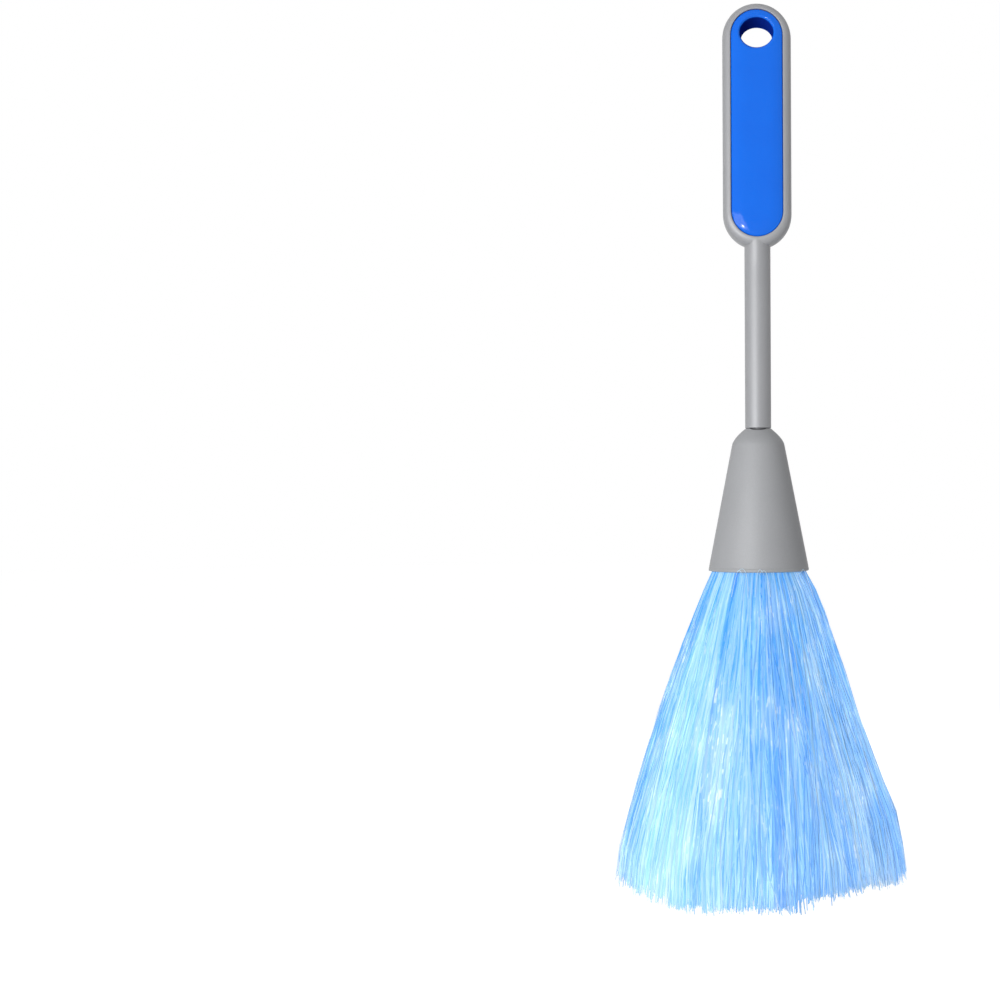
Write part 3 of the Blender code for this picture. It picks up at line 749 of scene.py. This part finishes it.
# A few fibres have come out under the rim and curl up over it. Each is given by its direction,
# its lean and its rise, and goes by these radii, heights, and shares of the rise and the lean.
loose_radius = 0.00013
loose_path = ((26.2, -1.6, 0.0, 0.0), (28.6, -0.8, 0.0, 0.1), (28.95, 0.0, 0.6, 0.3),
              (28.5, 0.0, 1.3, 0.6), (29.0, 0.0, 0.5, 0.9), (30.2, -3.5, 0.0, 1.1),
              (33.6, -13.0, 0.0, 1.2))
loose = bpy.data.curves.new("loose_fibres", "CURVE")
loose.dimensions = "3D"
loose.bevel_depth = loose_radius
loose.bevel_resolution = 1
loose.use_fill_caps = True
for start, lean, rise in ((-117, 14, 2.0), (-108, -7, 1.3), (-90, 9, 1.0), (-84, -8, 1.6),
                          (-36, 8, 1.2), (62, 10, 1.8), (141, -9, 1.2)):
    spline = loose.splines.new("NURBS")
    spline.points.add(len(loose_path) - 1)
    for point, (radius, height, rise_share, lean_share) in zip(spline.points, loose_path):
        turn = math.radians(start + lean * lean_share)
        point.co = (radius * math.cos(turn) / mm_per_m, radius * math.sin(turn) / mm_per_m,
                    collar_rim + (height + rise * rise_share) / mm_per_m, 1.0)
    spline.order_u = 4
    spline.use_endpoint_u = True
    spline.resolution_u = 6
curves = bpy.data.objects.new("loose_curves", loose)
scene.collection.objects.link(curves)
bpy.context.view_layer.update()
shown = curves.evaluated_get(bpy.context.evaluated_depsgraph_get())
loose_fibres = bpy.data.objects.new("loose_fibres", bpy.data.meshes.new_from_object(shown))
scene.collection.objects.link(loose_fibres)
bpy.data.objects.remove(curves, do_unlink=True)
loose_fibres.data.shade_smooth()
loose_fibres.data.materials.clear()
loose_fibres.data.materials.append(moulded_plastic(
    "loose_fibre_film", dark=(0.55, 0.80, 0.97), light=(0.80, 0.93, 1.0),
    roughness=0.30, unevenness=0.3, flecks=0.5, flow=0.5,
))
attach(loose_fibres, "root")


# Head core, its screw and the binding wire: hidden in the collar. The core is moulded in dark
# grey polypropylene, and the screw and the wire are zinc-plated steel.
core_plastic = moulded_plastic(
    "core_plastic", dark=(0.16, 0.16, 0.17), light=(0.22, 0.22, 0.23),
    roughness=0.5, unevenness=0.3, flecks=0.4, flow=0.4,
)
zinc_plate = moulded_plastic(
    "zinc_plated_steel", dark=(0.50, 0.50, 0.50), light=(0.68, 0.69, 0.70),
    roughness=0.32, unevenness=0.2, flecks=0.5, flow=0.4, Metallic=1.0,
)
for name, material in (("head_core", core_plastic), ("core_screw", zinc_plate),
                       ("binding_wire", zinc_plate)):
    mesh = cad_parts[name].data
    mesh.materials.clear()
    mesh.materials.append(material)


# Floor, sky and lamps: a white sweep under a hanging duster, a large soft lamp and a small one
# at the left front, weaker soft ones before and behind it, and a soft level all round.
floor_height, floor_radius = -0.62, 8.0
floor_grey, floor_glow = 0.30, 0.90
sky_level = 0.34


def share_of_rays(tree, *kinds):
    """1 on rays of any of these kinds, and 0 on all the others."""
    path = tree.nodes.new("ShaderNodeLightPath")
    share = path.outputs[kinds[0]]
    for kind in kinds[1:]:
        either = tree.nodes.new("ShaderNodeMath")
        either.operation = "MAXIMUM"
        tree.links.new(share, either.inputs[0])
        tree.links.new(path.outputs[kind], either.inputs[1])
        share = either.outputs[0]
    return share


bm = bmesh.new()
bmesh.ops.create_circle(bm, cap_ends=True, segments=64, radius=floor_radius)
floor_mesh = bpy.data.meshes.new("floor")
bm.to_mesh(floor_mesh)
bm.free()
floor = bpy.data.objects.new("floor", floor_mesh)
floor.location.z = floor_height
scene.collection.objects.link(floor)
white = bpy.data.materials.new("white_floor")
white.use_nodes = True
tree = white.node_tree
tree.nodes.remove(tree.nodes["Principled BSDF"])
matt = tree.nodes.new("ShaderNodeBsdfDiffuse")
matt.inputs["Color"].default_value = (floor_grey, floor_grey, floor_grey, 1.0)
glow = tree.nodes.new("ShaderNodeEmission")
level = tree.nodes.new("ShaderNodeMath")
level.operation = "MULTIPLY"
level.inputs[1].default_value = floor_glow
both = tree.nodes.new("ShaderNodeAddShader")
tree.links.new(share_of_rays(tree, "Is Camera Ray", "Is Glossy Ray"), level.inputs[0])
tree.links.new(level.outputs[0], glow.inputs["Strength"])
tree.links.new(matt.outputs[0], both.inputs[0])
tree.links.new(glow.outputs[0], both.inputs[1])
tree.links.new(both.outputs[0], tree.nodes["Material Output"].inputs["Surface"])
floor_mesh.materials.append(white)

world = bpy.data.worlds.new("studio")
world.use_nodes = True
tree = world.node_tree
backdrop = tree.nodes["Background"]
backdrop.inputs["Color"].default_value = (1.0, 1.0, 1.0, 1.0)
strength = tree.nodes.new("ShaderNodeMapRange")
strength.inputs["To Min"].default_value = sky_level
seen = share_of_rays(tree, "Is Camera Ray", "Is Glossy Ray", "Is Transmission Ray")
tree.links.new(seen, strength.inputs["Value"])
tree.links.new(strength.outputs["Result"], backdrop.inputs["Strength"])
scene.world = world

for name, place, size, power, mirrored in (
    ("key_softbox", (-0.88, -1.32, -0.52), 1.25, 23.2, True),
    ("front_lamp", (-0.465, -1.24, -0.38), 0.04, 3.2, True),
    ("fill_softbox", (-0.05, -1.70, -0.50), 1.0, 6.0, False),
    ("rear_softbox", (-0.35, 1.60, -0.1), 0.8, 9.0, False),
):
    lamp = bpy.data.lights.new(name, "AREA")
    lamp.size = size
    lamp.energy = power
    holder = bpy.data.objects.new(name, lamp)
    holder.location = place
    aim = camera.location.copy()
    aim.y = 0.0
    holder.rotation_euler = (aim - holder.location).to_track_quat("-Z", "Y").to_euler()
    holder.visible_glossy = mirrored
    scene.collection.objects.link(holder)

scene.view_settings.view_transform = "Standard"
